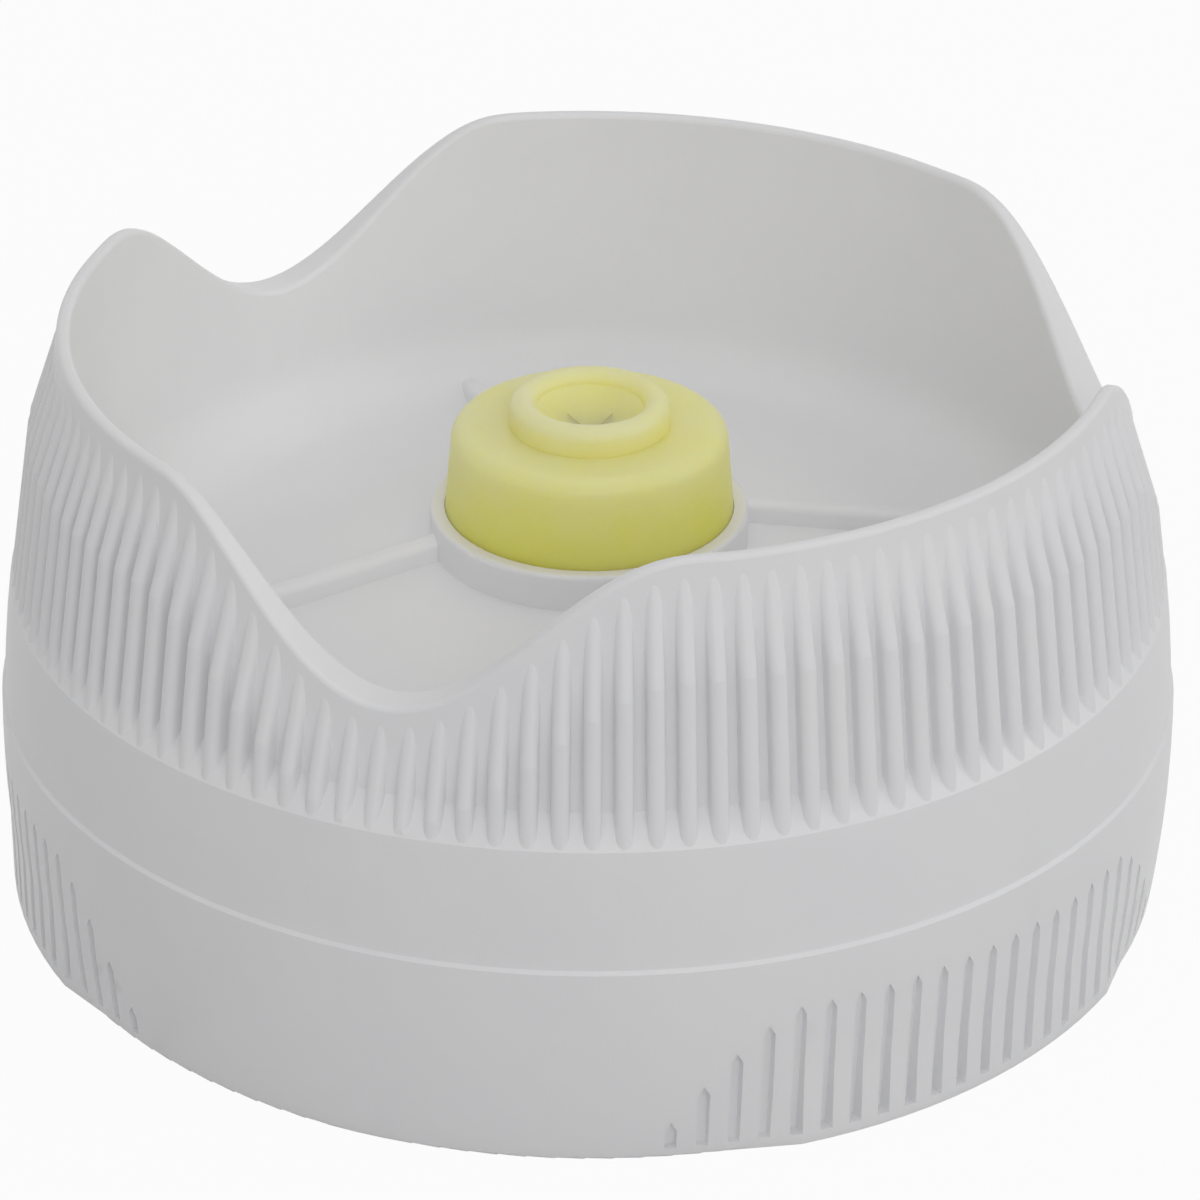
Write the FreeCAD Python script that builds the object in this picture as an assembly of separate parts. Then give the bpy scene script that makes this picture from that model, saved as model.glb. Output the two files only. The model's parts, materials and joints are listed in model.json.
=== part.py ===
import FreeCAD, Part
import math
import os
from FreeCAD import Vector

# Dispensing closure for a 38 mm screw neck: a ribbed skirt and three-lobed
# crown moulded in one, with a soft nozzle insert in the middle of its deck.
# Millimetres, +Z up, origin on the axis at the foot of the skirt.

# neck the closure screws on
neck_thread_diameter = 37.6
neck_clearance = 0.17
neck_mouth_diameter = 29.0
mouth_chamfer = 0.35

# skirt
skirt_wall = 1.53
belly_height = 5.3
belly_curve = 42.0
foot_round = 0.12
ledge_height = 7.2
ledge_step = 0.1
ledge_slope = 0.12
grip_foot = 11.4
grip_ramp = 1.0

# crown
crown_height = 20.5
lobes = 3
dip_azimuth = 10.0
dip_depth = 5.3
dip_half_angle = 29.5
rim_wall = 0.45
rim_round = 0.18
crown_draft = 0.5

# upright ribs round the crown
rib_count = 123
rib_width = 0.58
rib_proud = 0.6
rib_lean = 8.5
rib_set_in = 0.04
rib_fade_start = 0.6
rib_fade_end = 3.7
rib_root = 0.35
rib_edge = 0.27

# grooved panels on the skirt, one under each lobe
panel_height = 5.45
panel_half_angle = 35.0
panel_flat_half_angle = 20.0
pad_radius = 20.42
pad_end = 9.0
pad_root = 0.5
groove_width = 0.5
groove_floor = 0.3
groove_depth = 0.24
groove_reach = 0.7
groove_point = 0.45
foot_band = 0.4

# deck
deck_height = 12.0
deck_thickness = 1.3
deck_fall = 12.0
deck_corner = 2.4
deck_rib_count = 4
deck_rib_azimuth = 16.0
deck_rib_width = 0.8
deck_rib_height = 0.77
deck_rib_round = 0.3
ring_wall = 0.5
ring_height = 1.3
ring_round = 0.15

# plug seal under the deck
plug_wall = 0.9
plug_length = 2.2
plug_tip = 0.4
plug_lift = 0.2
neck_shoulder = 0.5
land_round = 0.5

# soft insert
insert_radius = 4.98
insert_clearance = 0.02
insert_height = 4.4
insert_draft = 4.0
shoulder_round = 0.6
lip_radius = 2.3
lip_width = 0.9
lip_height = 1.0
dish_depth = 1.3
groove_bite = 0.88
barb_overlap = 1.0
barb_length = 1.6
barb_edge = 0.5
passage_radius = 3.1
membrane = 0.7
slit_length = 2.2
slit_width = 0.03

bore_radius = neck_thread_diameter / 2 + neck_clearance
belly_radius = bore_radius + skirt_wall
plug_radius = neck_mouth_diameter / 2
seat_radius = insert_radius + insert_clearance
ring_radius = seat_radius + ring_wall
web_bore_radius = insert_radius - groove_bite
web_underside = deck_height - deck_thickness
pitch_angle = 360.0 / rib_count
lobe_angle = 360.0 / lobes
rib_slope = math.tan(math.radians(rib_lean))
deck_slope = math.tan(math.radians(deck_fall))
spare = 2.0


def point(r, z):
    return Vector(r, 0, z)


def line(a, b):
    return Part.LineSegment(point(*a), point(*b)).toShape()


def path(*points):
    return [line(a, b) for a, b in zip(points, points[1:])]


def arc(centre, radius, start, end):
    """Arc about a centre in the half-section, between two angles in degrees."""
    def at(angle):
        turn = math.radians(angle)
        return point(centre[0] + radius * math.cos(turn), centre[1] + radius * math.sin(turn))
    return Part.Arc(at(start), at((start + end) / 2), at(end)).toShape()


def on_arc(centre, radius, angle):
    turn = math.radians(angle)
    return (centre[0] + radius * math.cos(turn), centre[1] + radius * math.sin(turn))


def spin(edges, angle=360):
    """Solid made by turning a closed half-section about the axis."""
    face = Part.Face(Part.Wire(edges))
    return face.revolve(Vector(0, 0, 0), Vector(0, 0, 1), angle)


def turned(shape, azimuth):
    copy = shape.copy()
    copy.rotate(Vector(0, 0, 0), Vector(0, 0, 1), azimuth)
    return copy


def belly(z):
    """Radius of the barrel-shaped skirt at height z."""
    return belly_radius - belly_curve + math.sqrt(belly_curve ** 2 - (z - belly_height) ** 2)


def upper_belly(z):
    return belly(z) - ledge_step


def rib_crest(z):
    """Radius of the ribs' crests, which start just inside the belly."""
    return upper_belly(grip_foot) - rib_set_in - rib_slope * (z - grip_foot)


def crown_wall(z):
    """Radius of the plain wall between and above the ribs."""
    return rib_crest(z) - rib_proud


def crown_bore(z):
    drop = crown_height - z
    return crown_wall(crown_height) - rim_wall - math.tan(math.radians(crown_draft)) * drop


def dip(azimuth):
    """One at the bottom of each dip of the rim, falling to nothing at its ends."""
    away = abs((azimuth - dip_azimuth + lobe_angle / 2) % lobe_angle - lobe_angle / 2)
    return (1 + math.cos(math.pi * min(1.0, away / dip_half_angle))) / 2


def rim(azimuth):
    return crown_height - dip_depth * dip(azimuth)


def panel_top(offset):
    """Height of a grooved panel at an angle from its middle, zero beyond its end."""
    past = max(0.0, abs(offset) - panel_flat_half_angle)
    return panel_height * (1 - (past / (panel_half_angle - panel_flat_half_angle)) ** 1.5)


def deck_top(r):
    return deck_height - deck_slope * (r - ring_radius)


def deck_underside(r):
    return deck_top(r) - deck_thickness


def curve_through(z_low, z_high, radius_at):
    """Arc of the barrel between two heights."""
    middle = (z_low + z_high) / 2
    ends = [point(radius_at(z), z) for z in (z_low, middle, z_high)]
    return Part.Arc(*ends).toShape()


def skirt_outside(top):
    """Edges from the foot round up to the top of the crown's wall."""
    foot = (belly(0) - foot_round, 0)
    corner = (belly(foot_round / 2) - 0.3 * foot_round, 0.3 * foot_round)
    side = (belly(foot_round), foot_round)
    ledge_top = ledge_height + ledge_slope
    ramp_top = grip_foot + grip_ramp
    edges = [Part.Arc(point(*foot), point(*corner), point(*side)).toShape()]
    edges.append(curve_through(foot_round, ledge_height, belly))
    edges += path((belly(ledge_height), ledge_height), (upper_belly(ledge_top), ledge_top))
    edges.append(curve_through(ledge_top, grip_foot, upper_belly))
    edges += path((upper_belly(grip_foot), grip_foot), (crown_wall(ramp_top), ramp_top),
                  (crown_wall(top), top))
    return edges


def bowl(top):
    """Edges down the crown's bore and in along the deck to the ring."""
    fall = math.radians(deck_fall)
    lean = math.radians(crown_draft)
    # the corner's centre stands one radius off the bore and off the deck
    base = crown_bore(0) - deck_corner / math.cos(lean)
    deck_foot = deck_top(0) + deck_corner / math.cos(fall)
    z = (deck_foot - deck_slope * base) / (1 + deck_slope * math.tan(lean))
    centre = (base + math.tan(lean) * z, z)
    start = -crown_draft
    end = -90 - deck_fall
    ring_top = deck_height + ring_height
    round_centre = (ring_radius - ring_round, ring_top - ring_round)
    edges = path((crown_wall(top), top), (crown_bore(top), top), on_arc(centre, deck_corner, start))
    edges.append(arc(centre, deck_corner, start, end))
    edges += path(on_arc(centre, deck_corner, end), (ring_radius, deck_height),
                  (ring_radius, ring_top - ring_round))
    edges.append(arc(round_centre, ring_round, 0, 90))
    edges += path((ring_radius - ring_round, ring_top), (seat_radius, ring_top),
                  (seat_radius, deck_height), (web_bore_radius, deck_height),
                  (web_bore_radius, web_underside))
    return edges


def underside():
    """Edges out from the web's bore, round the plug seal and down the neck bore."""
    plug_inside = plug_radius - plug_wall
    land = deck_underside(plug_radius)
    tip = land - plug_length
    thread_top = tip - plug_lift
    neck_side = bore_radius - neck_shoulder
    corner = (neck_side - land_round, land - land_round)
    edges = path((web_bore_radius, web_underside), (ring_radius, web_underside),
                 (plug_inside, deck_underside(plug_inside)), (plug_inside, tip),
                 (plug_radius - plug_tip, tip), (plug_radius, tip + 2 * plug_tip),
                 (plug_radius, land), (corner[0], land))
    edges.append(arc(corner, land_round, 90, 0))
    edges += path((neck_side, corner[1]), (neck_side, thread_top + neck_shoulder),
                  (bore_radius, thread_top), (bore_radius, mouth_chamfer),
                  (bore_radius + mouth_chamfer, 0), (belly(0) - foot_round, 0))
    return edges


def rim_cutter():
    """Solid over the crown whose underside is the wave of the rim."""
    curves = []
    steps = 24 * lobes
    for radius in (crown_bore(deck_height) - spare, belly_radius + spare):
        azimuths = [dip_azimuth - pitch_angle / 2 + 360.0 * i / steps for i in range(steps)]
        wave = [turned(Part.Vertex(radius, 0, rim(a)), a).Point for a in azimuths]
        curve = Part.BSplineCurve()
        curve.interpolate(Points=wave, PeriodicFlag=True)
        curves.append(curve.toShape())
    return Part.makeRuledSurface(*curves).extrude(Vector(0, 0, dip_depth + 2 * spare))


def along_rim(edge):
    """Whether an edge follows the rim, either on the wall or on the bore."""
    start, middle, end = [edge.valueAt(edge.FirstParameter + t * (edge.LastParameter - edge.FirstParameter))
                          for t in (0, 0.5, 1)]
    height = rim(math.degrees(math.atan2(middle.y, middle.x)))
    return (abs(middle.z - height) < rim_round / 2
            and abs(math.hypot(start.x, start.y) - math.hypot(end.x, end.y)) < rim_round)


def crown_rib(azimuth):
    """Round-crested rib, buried under the belly below and fading out under the rim."""
    low = grip_foot - rib_width / 2
    knee = rim(azimuth) - rib_fade_end
    high = rim(azimuth) - rib_fade_start
    crest = [(rib_crest(low), low), (rib_crest(knee), knee), (crown_wall(high), high)]
    root = [(crown_wall(high) - rib_root, high), (crown_wall(low) - rib_root, low)]
    corners = [Vector(r, -rib_width / 2, z) for r, z in crest + root + crest[:1]]
    rib = Part.Face(Part.makePolygon(corners)).extrude(Vector(0, rib_width, 0))
    edges = [e for e in rib.Edges if e.Length > rib_width + 0.01 and lies_on(e, crest)]
    return turned(rib.makeFillet(rib_edge, edges), azimuth)


def lies_on(edge, points):
    """Whether both ends of an edge are over points of the half-section."""
    return all(any(abs(v.X - r) + abs(v.Z - z) < 1e-6 for r, z in points) for v in edge.Vertexes)


def grip_pad(azimuth):
    """Upright pad that stands out where the belly draws in towards the foot."""
    end = panel_flat_half_angle + pad_end
    sunk = belly(0) - foot_round
    root = belly(0) - pad_root

    def at(radius, offset):
        turn = math.radians(offset)
        return Vector(radius * math.cos(turn), radius * math.sin(turn), 0)
    front = [at(pad_radius, offset) for offset in
             (-panel_flat_half_angle, 0, panel_flat_half_angle)]
    back = [front[2], at(sunk, end), at(root, end), at(root, 0), at(root, -end), at(sunk, -end), front[0]]
    edges = [Part.Arc(*front).toShape(), Part.makePolygon(back)]
    pad = Part.Face(Part.Wire(Part.Wire(edges).Edges)).extrude(Vector(0, 0, 0.9 * belly_height))
    return turned(pad, azimuth)


def panel_groove(offset, azimuth):
    """Drafted cutter with a pointed top, leaning with the barrel's foot."""
    lean = math.degrees(math.atan((belly(panel_height) - belly(0)) / panel_height))
    sections = []
    for x, width in ((0, groove_floor), (groove_reach, groove_width)):
        half = width / 2
        shoulder = panel_top(offset) - groove_point * width / groove_width
        corners = [Vector(x, y, z) for y, z in ((-half, foot_band), (half, foot_band), (half, shoulder),
                                                (0, panel_top(offset)), (-half, shoulder),
                                                (-half, foot_band))]
        sections.append(Part.makePolygon(corners))
    groove = Part.makeLoft(sections, True, True)
    groove.rotate(Vector(0, 0, 0), Vector(0, 1, 0), lean)
    groove.translate(Vector(belly(0) - groove_depth, 0, 0))
    return turned(groove, azimuth + offset)


def deck_rib(azimuth):
    """Low radial rib that follows the deck's fall from the ring into the corner."""
    start = ring_radius - ring_wall / 2
    end = crown_bore(deck_height)
    low = deck_thickness / 2
    corners = [Vector(r, -deck_rib_width / 2, deck_top(r) + rise)
               for r, rise in ((start, -low), (end, -low), (end, deck_rib_height),
                               (start, deck_rib_height), (start, -low))]
    rib = Part.Face(Part.makePolygon(corners)).extrude(Vector(0, deck_rib_width, 0))
    ridge = deck_top((start + end) / 2) + deck_rib_height
    tops = [e for e in rib.Edges if abs(e.CenterOfMass.z - ridge) < 1e-6 and e.Length > 1.5]
    return turned(rib.makeFillet(deck_rib_round, tops), azimuth)


def lobe_share(top):
    """One lobe's share of the moulding, from the valley beside a dip to the next such valley."""
    edges = skirt_outside(top) + bowl(top) + underside()
    share = spin(edges, lobe_angle)
    share = turned(share, dip_azimuth - pitch_angle / 2)
    middle = dip_azimuth + lobe_angle / 2
    ribs = [crown_rib(dip_azimuth + k * pitch_angle) for k in range(rib_count // lobes)]
    share = share.fuse(ribs + [grip_pad(middle)])
    reach = int(panel_half_angle / pitch_angle)
    offsets = [k * pitch_angle for k in range(-reach, reach + 1)]
    grooves = [panel_groove(offset, middle) for offset in offsets
               if panel_top(offset) > foot_band + groove_point]
    return share.cut(grooves + [rim_cutter()])


def cap_body():
    share = lobe_share(crown_height + spare)
    body = share.fuse([turned(share, k * lobe_angle) for k in range(1, lobes)])
    body = body.makeFillet(rim_round, [e for e in body.Edges if along_rim(e)])
    ribs = [deck_rib(deck_rib_azimuth + 360.0 * k / deck_rib_count) for k in range(deck_rib_count)]
    return body.fuse(ribs).removeSplitter()


def nozzle_insert():
    foot = web_underside - barb_length
    barb = web_bore_radius + barb_overlap
    lean = math.tan(math.radians(insert_draft))
    top = deck_height + insert_height
    side = insert_radius - lean * (insert_height - ring_height)
    lip = lip_width / 2
    lip_centre = (lip_radius, top + lip_height - lip)
    crest = lip_centre[1] + lip
    inner = lip_radius - lip
    sag = lip_centre[1] - (crest - dish_depth)
    dish_radius = (inner ** 2 + sag ** 2) / (2 * sag)
    dish_centre = (0, crest - dish_depth + dish_radius)
    spread = math.degrees(math.asin(inner / dish_radius))
    ceiling = crest - dish_depth - membrane
    shoulder_centre = (side - shoulder_round, top - shoulder_round)
    edges = path((passage_radius, foot), (web_bore_radius, foot), (barb, web_underside - barb_edge),
                 (barb, web_underside), (web_bore_radius, web_underside),
                 (web_bore_radius, deck_height), (insert_radius, deck_height),
                 (insert_radius, deck_height + ring_height),
                 on_arc(shoulder_centre, shoulder_round, insert_draft))
    edges.append(arc(shoulder_centre, shoulder_round, insert_draft, 90))
    edges += path(on_arc(shoulder_centre, shoulder_round, 90), (lip_radius + lip, top),
                  (lip_radius + lip, lip_centre[1]))
    edges.append(arc(lip_centre, lip, 0, 180))
    edges.append(arc(dish_centre, dish_radius, -90 + spread, -90))
    edges += path((0, crest - dish_depth), (0, ceiling), (passage_radius, ceiling),
                  (passage_radius, foot))
    insert = spin(edges)
    slit = Part.makeBox(slit_length, slit_width, lip_height + membrane + dish_depth)
    slit.translate(Vector(-slit_length / 2, -slit_width / 2, ceiling - membrane / 2))
    return insert.cut([turned(slit, 45), turned(slit, -45)])


os.makedirs("parts", exist_ok=True)
for name, make in (("cap_body", cap_body), ("nozzle_insert", nozzle_insert)):
    shape = make()
    print(name, shape.isValid(), len(shape.Solids), len(shape.Faces), round(shape.Volume, 1))
    shape.exportStep("parts/" + name + ".step")
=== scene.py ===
import json
import math

import bpy
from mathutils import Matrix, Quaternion, Vector


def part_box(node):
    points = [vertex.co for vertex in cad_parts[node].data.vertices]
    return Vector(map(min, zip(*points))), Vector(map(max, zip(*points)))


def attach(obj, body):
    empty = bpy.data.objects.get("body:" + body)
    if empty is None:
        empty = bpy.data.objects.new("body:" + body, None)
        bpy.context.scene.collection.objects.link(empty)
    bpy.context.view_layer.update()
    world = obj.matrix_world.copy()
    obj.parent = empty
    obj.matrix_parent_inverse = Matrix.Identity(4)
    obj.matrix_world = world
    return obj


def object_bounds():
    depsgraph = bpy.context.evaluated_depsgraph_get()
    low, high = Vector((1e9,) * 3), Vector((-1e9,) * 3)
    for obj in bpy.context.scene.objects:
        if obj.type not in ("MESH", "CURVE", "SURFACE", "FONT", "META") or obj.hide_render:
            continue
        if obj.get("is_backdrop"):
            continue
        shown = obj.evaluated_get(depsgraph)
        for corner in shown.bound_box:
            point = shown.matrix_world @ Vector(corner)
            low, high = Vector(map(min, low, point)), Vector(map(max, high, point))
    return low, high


# looks of the ribbed dispensing closure, in metres
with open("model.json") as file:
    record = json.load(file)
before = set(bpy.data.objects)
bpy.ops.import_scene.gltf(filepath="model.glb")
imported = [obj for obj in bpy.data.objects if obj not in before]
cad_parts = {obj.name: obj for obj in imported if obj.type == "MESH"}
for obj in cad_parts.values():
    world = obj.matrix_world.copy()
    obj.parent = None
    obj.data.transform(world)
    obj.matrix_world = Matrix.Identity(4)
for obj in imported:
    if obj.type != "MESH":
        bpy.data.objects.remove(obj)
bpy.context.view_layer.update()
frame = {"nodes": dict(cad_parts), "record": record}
record = frame["record"]
mm = 0.001
print("frame loaded")


# helpers for the node trees

def startMaterial(name):
    material = bpy.data.materials.new(name)
    material.use_nodes = True
    tree = material.node_tree
    shader = tree.nodes["Principled BSDF"]
    coords = tree.nodes.new("ShaderNodeTexCoord")
    return material, tree, shader, coords


def addNoise(tree, coords, scale, detail=2.0, roughness=0.5):
    noise = tree.nodes.new("ShaderNodeTexNoise")
    noise.inputs["Scale"].default_value = scale
    noise.inputs["Detail"].default_value = detail
    noise.inputs["Roughness"].default_value = roughness
    tree.links.new(coords.outputs["Object"], noise.inputs["Vector"])
    return noise


def addRange(tree, source, fromMin, fromMax, toMin, toMax):
    mapRange = tree.nodes.new("ShaderNodeMapRange")
    ends = {"From Min": fromMin, "From Max": fromMax, "To Min": toMin, "To Max": toMax}
    for socket, value in ends.items():
        mapRange.inputs[socket].default_value = value
    tree.links.new(source, mapRange.inputs["Value"])
    return mapRange.outputs["Result"]


def addMix(tree, factor, first, second):
    mix = tree.nodes.new("ShaderNodeMix")
    mix.data_type = "RGBA"
    tree.links.new(factor, mix.inputs["Factor"])
    for socket, colour in (("A", first), ("B", second)):
        slot = next(s for s in mix.inputs if s.name == socket and s.type == "RGBA")
        if isinstance(colour, tuple):
            slot.default_value = colour + (1.0,)
        else:
            tree.links.new(colour, slot)
    return next(s for s in mix.outputs if s.type == "RGBA")


def addBump(tree, height, distance, strength, below=None):
    bump = tree.nodes.new("ShaderNodeBump")
    bump.inputs["Distance"].default_value = distance
    bump.inputs["Strength"].default_value = strength
    tree.links.new(height, bump.inputs["Height"])
    if below is not None:
        tree.links.new(below, bump.inputs["Normal"])
    return bump.outputs["Normal"]


# white moulding: satin polypropylene, a touch cool, faintly cloudy where it cooled

whitePlastic = {
    "pale": (0.90, 0.90, 0.91),
    "shaded": (0.875, 0.875, 0.89),
    "cloudScale": 130.0,
    "sinkScale": 104.0,
    "sinkHeight": 0.05 * mm,
    "grainScale": 5200.0,
    "grainHeight": 0.006 * mm,
    "roughLow": 0.36,
    "roughHigh": 0.50,
    "ior": 1.49,
    "specular": 0.45,
    "softWeight": 0.18,
    "softRadius": (0.9, 0.9, 0.9),
    "softScale": 1.0 * mm,
}


def makeWhitePlastic(look):
    material, tree, shader, coords = startMaterial("satinWhitePlastic")
    cloud = addNoise(tree, coords, look["cloudScale"], 3.0, 0.55)
    cloudy = addRange(tree, cloud.outputs["Fac"], 0.3, 0.7, 0.0, 1.0)
    colour = addMix(tree, cloudy, look["shaded"], look["pale"])
    tree.links.new(colour, shader.inputs["Base Color"])
    grain = addNoise(tree, coords, look["grainScale"], 2.0, 0.6)
    rough = addRange(tree, grain.outputs["Fac"], 0.25, 0.75, look["roughLow"], look["roughHigh"])
    tree.links.new(rough, shader.inputs["Roughness"])
    sink = addNoise(tree, coords, look["sinkScale"], 1.0, 0.4)
    soft = addBump(tree, sink.outputs["Fac"], look["sinkHeight"], 1.0)
    fine = addBump(tree, grain.outputs["Fac"], look["grainHeight"], 1.0, soft)
    tree.links.new(fine, shader.inputs["Normal"])
    shader.inputs["IOR"].default_value = look["ior"]
    shader.inputs["Specular IOR Level"].default_value = look["specular"]
    shader.inputs["Subsurface Weight"].default_value = look["softWeight"]
    shader.inputs["Subsurface Radius"].default_value = look["softRadius"]
    shader.inputs["Subsurface Scale"].default_value = look["softScale"]
    return material


# nozzle insert: soft translucent yellow, deeper towards the deck; the paler top is a painted
# highlight where the light from above falls on it

yellowRubber = {
    # pale is the painted highlight on the upper part; deep is the insert's own yellow
    "pale": (0.98, 0.90, 0.48),
    "deep": (0.98, 0.87, 0.09),
    "deepShare": 0.45,  # of the height, which keeps the deep colour
    "cloudScale": 260.0,
    "mottle": 0.18,
    "grainScale": 4200.0,
    "grainHeight": 0.008 * mm,
    "roughLow": 0.34,
    "roughHigh": 0.48,
    "ior": 1.43,
    "softWeight": 0.75,
    "softRadius": (1.0, 0.85, 0.35),
    "softScale": 2.2 * mm,
}


def makeYellowRubber(look):
    material, tree, shader, coords = startMaterial("softYellowRubber")
    low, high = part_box("nozzle_insert")
    split = tree.nodes.new("ShaderNodeSeparateXYZ")
    tree.links.new(coords.outputs["Object"], split.inputs["Vector"])
    # from this height up the colour turns pale: a painted highlight on the top, which faces the
    # light; the mottle is random tone
    deck = low.z + look["deepShare"] * (high.z - low.z)
    rise = addRange(tree, split.outputs["Z"], deck, high.z, 0.0, 1.0)
    cloud = addNoise(tree, coords, look["cloudScale"], 3.0, 0.5)
    mottle = addRange(tree, cloud.outputs["Fac"], 0.3, 0.7, -look["mottle"], look["mottle"])
    paintedSheenAndMottle = tree.nodes.new("ShaderNodeMath")
    paintedSheenAndMottle.use_clamp = True
    tree.links.new(rise, paintedSheenAndMottle.inputs[0])
    tree.links.new(mottle, paintedSheenAndMottle.inputs[1])
    colour = addMix(tree, paintedSheenAndMottle.outputs["Value"], look["deep"], look["pale"])
    tree.links.new(colour, shader.inputs["Base Color"])
    grain = addNoise(tree, coords, look["grainScale"], 2.0, 0.6)
    rough = addRange(tree, grain.outputs["Fac"], 0.25, 0.75, look["roughLow"], look["roughHigh"])
    tree.links.new(rough, shader.inputs["Roughness"])
    fine = addBump(tree, grain.outputs["Fac"], look["grainHeight"], 1.0)
    tree.links.new(fine, shader.inputs["Normal"])
    shader.inputs["IOR"].default_value = look["ior"]
    shader.inputs["Subsurface Weight"].default_value = look["softWeight"]
    shader.inputs["Subsurface Radius"].default_value = look["softRadius"]
    shader.inputs["Subsurface Scale"].default_value = look["softScale"]
    return material


white = makeWhitePlastic(whitePlastic)
yellow = makeYellowRubber(yellowRubber)
for node, material in (("cap_body", white), ("nozzle_insert", yellow)):
    part = frame["nodes"][node]
    part.data.materials.clear()
    part.data.materials.append(material)
print("materials on the two mouldings")


# neck thread: one turn of a rounded ridge in the neck bore, run out into the wall at both ends

neckThread = {
    "pitch": 4.23 * mm,
    "turns": 1.0,
    "depth": 1.05 * mm,
    "rootWidth": 1.75 * mm,
    "crestWidth": 0.75 * mm,
    "setIn": 0.15 * mm,
    "rounding": 0.18 * mm,
    "stepsPerTurn": 120,
    "runOutSteps": 10,
    "startAzimuth": 205.0,
    "smoothAngle": 35.0,
}


def deselectAll():
    if bpy.context.object and bpy.context.object.mode == "EDIT":
        bpy.ops.object.mode_set(mode="OBJECT")
    bpy.ops.object.select_all(action="DESELECT")


def selectInEdit(part, isChosen):
    # vertices are picked by their place, then edit mode is entered in vertex mode
    bpy.context.view_layer.objects.active = part
    if part.mode == "EDIT":
        bpy.ops.object.mode_set(mode="OBJECT")
    for item in list(part.data.polygons) + list(part.data.edges):
        item.select = False
    for vertex in part.data.vertices:
        vertex.select = bool(isChosen(vertex))
    bpy.ops.object.mode_set(mode="EDIT")
    bpy.ops.mesh.select_mode(type="VERT")


def applyModifier(part, name):
    bpy.ops.object.mode_set(mode="OBJECT")
    bpy.context.view_layer.objects.active = part
    bpy.ops.object.modifier_apply(modifier=name)


def makeNeckThread(look):
    bore = next(m for m in record["mounts"] if m["name"] == "neck_thread")
    wall = bore["dims"]["r_mm"] * mm
    middle = bore["pos_m"][2]
    rise = look["pitch"] * look["turns"]
    width = look["depth"] + look["setIn"]
    centre = wall + look["setIn"] - width / 2
    deselectAll()
    # the ridge's half-section stands on the wall at azimuth zero
    bpy.ops.mesh.primitive_plane_add(size=1.0, location=(0, 0, 0))
    ridge = bpy.context.object
    ridge.name = ridge.data.name = "neck_thread"
    bpy.ops.object.mode_set(mode="EDIT")
    bpy.ops.mesh.select_all(action="SELECT")
    bpy.ops.transform.rotate(value=math.radians(90), orient_axis="X", center_override=(0, 0, 0))
    bpy.ops.transform.resize(value=(width, 1, look["rootWidth"]), center_override=(0, 0, 0))
    bpy.ops.transform.translate(value=(centre, 0, middle - rise / 2))
    selectInEdit(ridge, lambda v: v.co.x < centre)
    bpy.ops.transform.resize(value=(1, 1, look["crestWidth"] / look["rootWidth"]),
                             center_override=(0, 0, middle - rise / 2))
    bpy.ops.mesh.bevel(offset=look["rounding"], segments=3, affect="VERTICES")
    bpy.ops.mesh.select_all(action="SELECT")
    bpy.ops.mesh.delete(type="ONLY_FACE")
    bpy.ops.object.mode_set(mode="OBJECT")
    section = len(ridge.data.vertices)
    screw = ridge.modifiers.new("turns", "SCREW")
    screw.axis = "Z"
    screw.angle = math.radians(360 * look["turns"])
    screw.screw_offset = rise
    screw.steps = screw.render_steps = int(look["stepsPerTurn"] * look["turns"])
    screw.use_smooth_shade = False
    applyModifier(ridge, "turns")
    rings = len(ridge.data.vertices) // section
    # each end sinks back into the wall over a few steps
    for step in range(look["runOutSteps"]):
        share = 0.5 + 0.5 * math.cos(math.pi * step / look["runOutSteps"])
        for ring in (step, rings - 1 - step):
            first, last = ring * section, (ring + 1) * section
            spot = ridge.data.vertices[first].co
            out = Vector((spot.x, spot.y, 0)).normalized()
            selectInEdit(ridge, lambda v: first <= v.index < last and v.co.xy.length < wall)
            bpy.ops.transform.translate(value=out * look["depth"] * share)
    bpy.ops.mesh.select_all(action="SELECT")
    bpy.ops.mesh.fill_holes(sides=0)
    bpy.ops.transform.rotate(value=math.radians(look["startAzimuth"]), orient_axis="Z",
                             center_override=(0, 0, 0))
    bpy.ops.mesh.normals_make_consistent(inside=False)
    bpy.ops.object.mode_set(mode="OBJECT")
    bpy.ops.object.shade_smooth_by_angle(angle=math.radians(look["smoothAngle"]))
    ridge.data.materials.append(white)
    return ridge


ridge = makeNeckThread(neckThread)
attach(ridge, "root")
print("neck thread")


# stage: plain white floor, soft room light and three broad lamps

stage = {
    "floorSize": 1.2,
    "floorColour": (0.55, 0.55, 0.55, 1.0),
    "floorOwnWhite": 0.95,
    "roomLevel": 0.43,
}

lamps = {  # place and size in metres, power in watts
    "rightLamp": ((0.50, -0.05, 0.22), 0.35, 0.325),
    "topLamp": ((0.0, 0.0, 0.60), 0.50, 0.41),
    "frontLamp": ((0.10, -0.50, 0.25), 0.40, 0.56),
}


def cameraWhite(tree, shownShare):
    # one where the camera, a gloss or a clear ray looks, nothing for the light on the object
    path = tree.nodes.new("ShaderNodeLightPath")
    value = path.outputs["Is Camera Ray"]
    for name in ("Is Glossy Ray", "Is Transmission Ray"):
        biggest = tree.nodes.new("ShaderNodeMath")
        biggest.operation = "MAXIMUM"
        tree.links.new(value, biggest.inputs[0])
        tree.links.new(path.outputs[name], biggest.inputs[1])
        value = biggest.outputs["Value"]
    share = tree.nodes.new("ShaderNodeMath")
    share.operation = "MULTIPLY"
    share.inputs[1].default_value = shownShare
    tree.links.new(value, share.inputs[0])
    return share.outputs["Value"]


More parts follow.
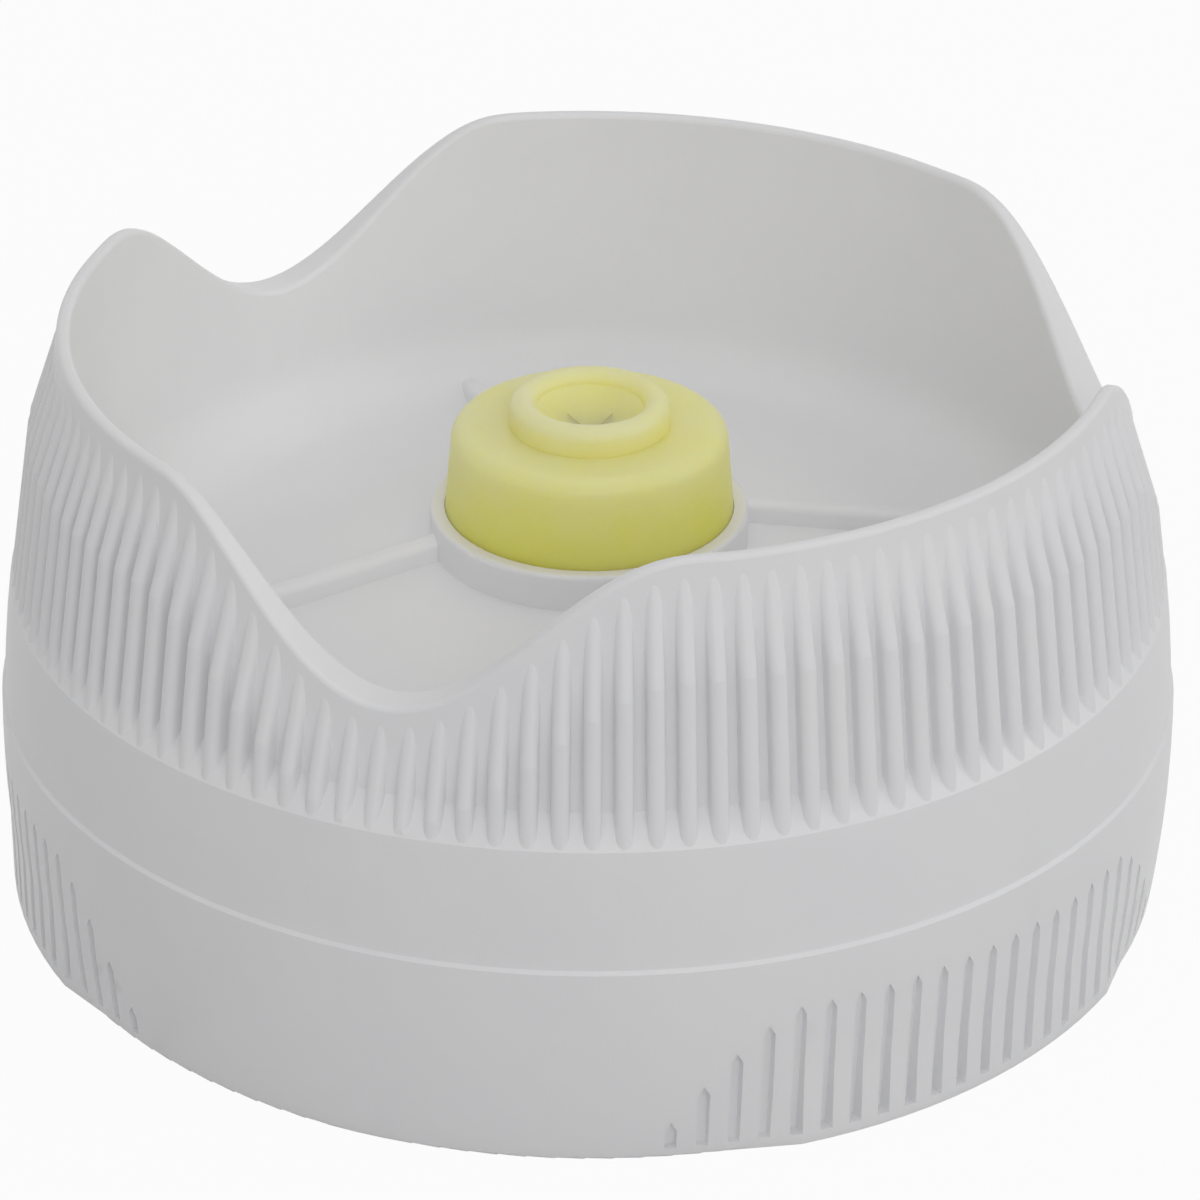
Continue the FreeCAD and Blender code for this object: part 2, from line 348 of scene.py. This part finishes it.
def makeFloor(look):
    deselectAll()
    bpy.ops.mesh.primitive_plane_add(size=look["floorSize"], location=(0, 0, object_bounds()[0][2]))
    floor = bpy.context.object
    floor.name = "floor"
    material = bpy.data.materials.new("paleFloor")
    material.use_nodes = True
    tree = material.node_tree
    shader = tree.nodes["Principled BSDF"]
    shader.inputs["Base Color"].default_value = look["floorColour"]
    shader.inputs["Roughness"].default_value = 0.8
    glow = tree.nodes.new("ShaderNodeEmission")
    mix = tree.nodes.new("ShaderNodeMixShader")
    tree.links.new(cameraWhite(tree, look["floorOwnWhite"]), mix.inputs["Fac"])
    tree.links.new(shader.outputs["BSDF"], mix.inputs[1])
    tree.links.new(glow.outputs["Emission"], mix.inputs[2])
    tree.links.new(mix.outputs["Shader"], tree.nodes["Material Output"].inputs["Surface"])
    floor.data.materials.append(material)
    floor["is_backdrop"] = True


def makeRoom(look):
    world = bpy.data.worlds.new("softRoom")
    bpy.context.scene.world = world
    world.use_nodes = True
    tree = world.node_tree
    tree.nodes.clear()
    output = tree.nodes.new("ShaderNodeOutputWorld")
    room = tree.nodes.new("ShaderNodeBackground")
    room.inputs["Color"].default_value = (1.0, 1.0, 1.0, 1.0)
    room.inputs["Strength"].default_value = look["roomLevel"]
    backdrop = tree.nodes.new("ShaderNodeBackground")
    backdrop.inputs["Color"].default_value = (1.0, 1.0, 1.0, 1.0)
    backdrop.inputs["Strength"].default_value = 1.0
    mix = tree.nodes.new("ShaderNodeMixShader")
    tree.links.new(cameraWhite(tree, 1.0), mix.inputs["Fac"])
    tree.links.new(room.outputs["Background"], mix.inputs[1])
    tree.links.new(backdrop.outputs["Background"], mix.inputs[2])
    tree.links.new(mix.outputs["Shader"], output.inputs["Surface"])


def addLamp(name, place, size, power):
    lamp = bpy.data.lights.new(name, "AREA")
    lamp.shape = "DISK"
    lamp.size = size
    lamp.energy = power
    holder = bpy.data.objects.new(name, lamp)
    bpy.context.scene.collection.objects.link(holder)
    holder.location = place
    holder.rotation_euler = Vector(place).to_track_quat("Z", "Y").to_euler()


makeFloor(stage)
makeRoom(stage)
for lampName, (place, size, power) in lamps.items():
    addLamp(lampName, place, size, power)


# camera

view = {
    "distance": 161.3 * mm,
    "elevation": 28.47,
    "targetHeight": 9.49 * mm,
    "roll": 0.41,
    "lens": 138.63,
    "sensor": 36.0,
    "shiftX": 0.0095,
    "clip": (0.01, 10.0),
}


def placeCamera(look):
    camera = bpy.data.cameras.new("camera")
    camera.sensor_width = look["sensor"]
    camera.lens = look["lens"]
    camera.shift_x = look["shiftX"]
    camera.clip_start, camera.clip_end = look["clip"]
    holder = bpy.data.objects.new("camera", camera)
    bpy.context.scene.collection.objects.link(holder)
    up = math.radians(look["elevation"])
    holder.location = Vector((0, -math.cos(up) * look["distance"],
                              look["targetHeight"] + math.sin(up) * look["distance"]))
    tilt = Vector((1, 0, 0)), math.pi / 2 - up
    holder.rotation_mode = "QUATERNION"
    holder.rotation_quaternion = Quaternion(*tilt) @ Quaternion((0, 0, 1), math.radians(look["roll"]))
    bpy.context.scene.camera = holder


placeCamera(view)
bpy.context.scene.view_settings.view_transform = "Standard"
print("stage, lamps and camera")
